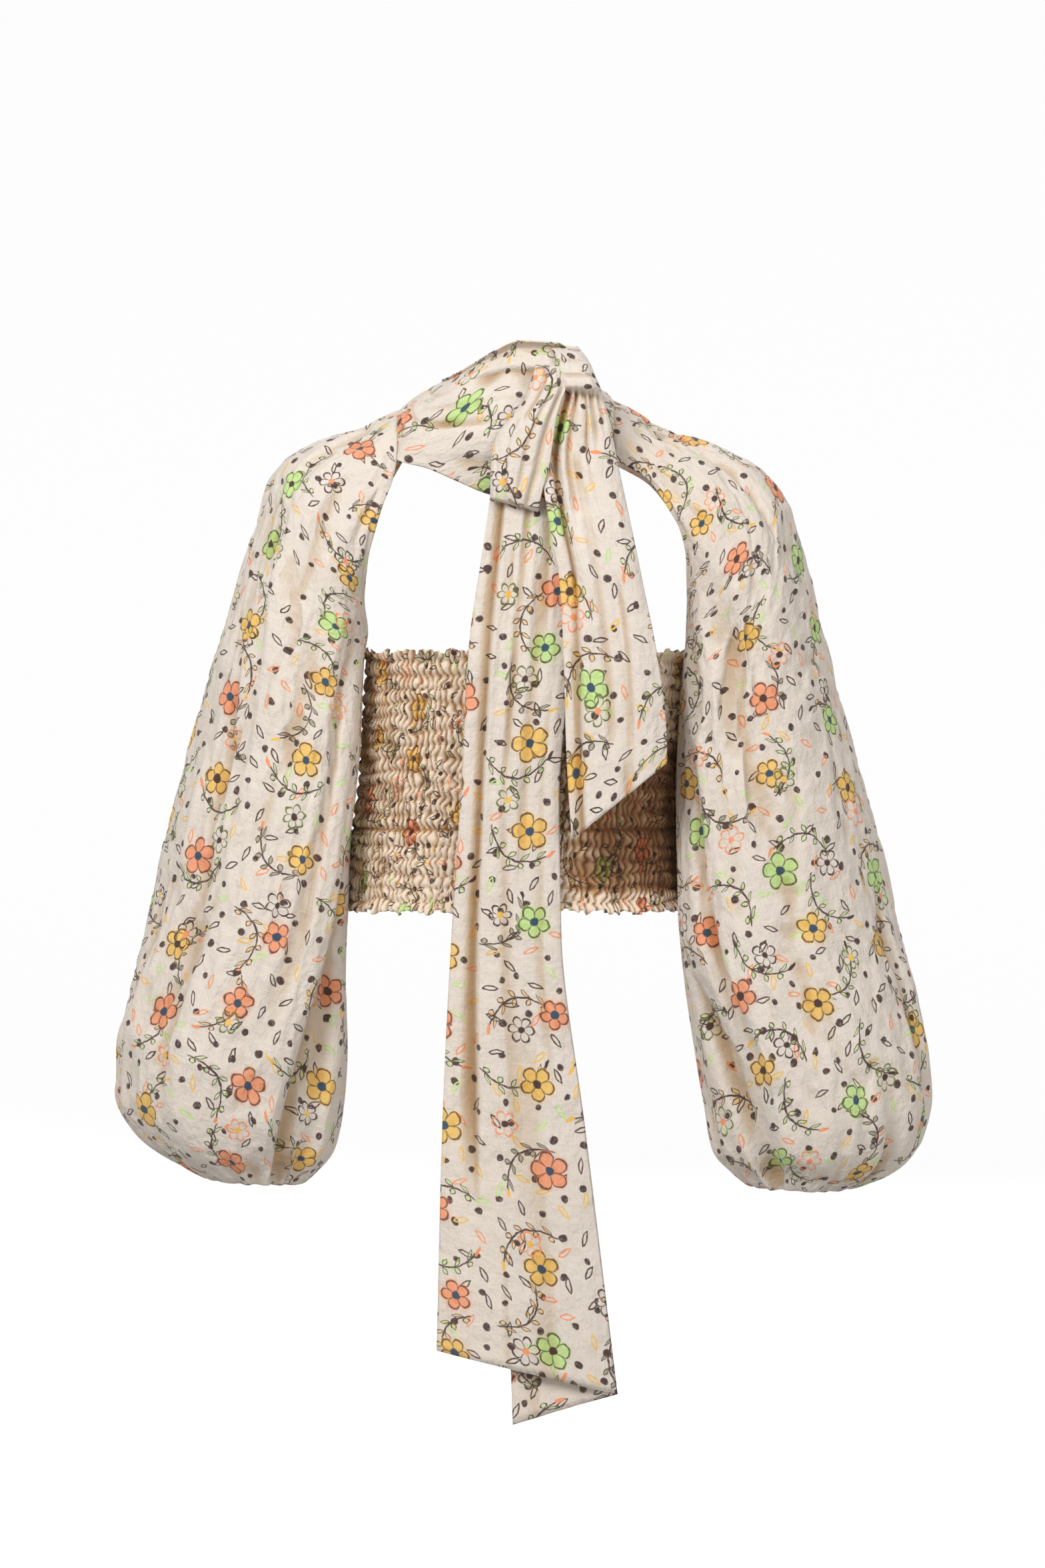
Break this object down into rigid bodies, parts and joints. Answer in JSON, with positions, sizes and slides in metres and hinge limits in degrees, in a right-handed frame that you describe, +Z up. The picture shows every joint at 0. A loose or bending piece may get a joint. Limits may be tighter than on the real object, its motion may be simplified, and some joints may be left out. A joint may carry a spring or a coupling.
{
  "type": "puff sleeve top",
  "caption": "Cropped cotton top held open as worn: balloon raglan sleeves on elastic cuffs, smocked bodice and waistband, and a neck band knotted into two hanging tie tails.",
  "frame": {"origin": "centre of the base of the wearer's neck, inside the neck band, where the top is held up", "axes": "+Z up, -Y towards the front that the picture shows, +X to the right as seen from the front (the wearer's left)"},
  "size_m": [0.6396, 0.2074, 0.8259],
  "materials": {
    "printed_cotton": "light plain-weave cotton with a small printed floral, matt",
    "smocked_cotton": "the same cotton, gathered on rows of elastic thread, matt"
  },
  "bodies": {
    "root": {"bodice_front": "smocked_cotton", "bodice_back": "smocked_cotton", "waistband_front": "smocked_cotton", "waistband_back": "smocked_cotton", "sleeve_left": "printed_cotton", "sleeve_right": "printed_cotton", "cuff_left": "printed_cotton", "cuff_right": "printed_cotton", "neck_band_front": "printed_cotton", "neck_band_back": "printed_cotton", "knot": "printed_cotton", "tail_long": "printed_cotton", "tail_short": "printed_cotton"}
  },
  "joints": []
}
